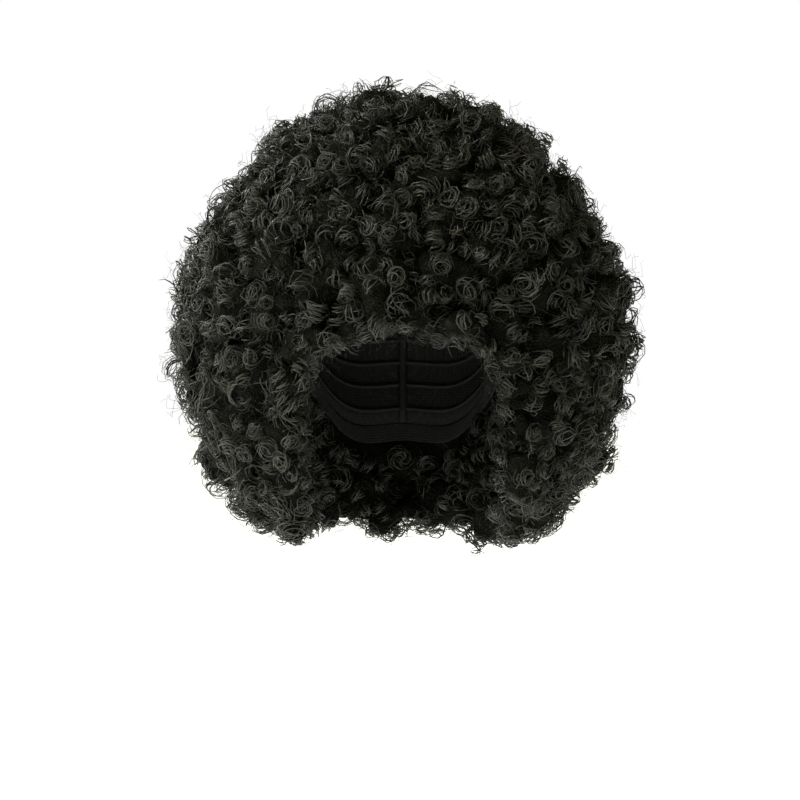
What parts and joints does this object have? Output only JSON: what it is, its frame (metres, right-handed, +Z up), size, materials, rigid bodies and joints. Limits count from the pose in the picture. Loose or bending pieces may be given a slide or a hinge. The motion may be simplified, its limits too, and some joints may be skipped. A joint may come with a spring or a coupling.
{
  "type": "afro wig",
  "caption": "Round full-volume wig of tight synthetic curls on a net cap with an elastic edge band, open at the face and neck.",
  "frame": {"origin": "inside of the cap at its top, where the top of the wearer's head sits", "axes": "+Z up, -Y towards the face opening, +X towards the wearer's left"},
  "size_m": [0.3248, 0.3052, 0.3201],
  "materials": {
    "hair": "curled synthetic fibre, nearly black, with a soft satin sheen along the strands",
    "net": "matt black net with sewn rows of weft tape",
    "elastic": "black woven elastic, matt, with ribs along its length"
  },
  "bodies": {
    "root": {"cap": "net", "edge_band": "elastic", "crown_hair": "hair", "front_hair": "hair", "upper_side_hair_left": "hair", "upper_side_hair_right": "hair", "upper_back_hair": "hair", "lower_side_hair_left": "hair", "lower_side_hair_right": "hair", "nape_hair": "hair"}
  },
  "joints": []
}
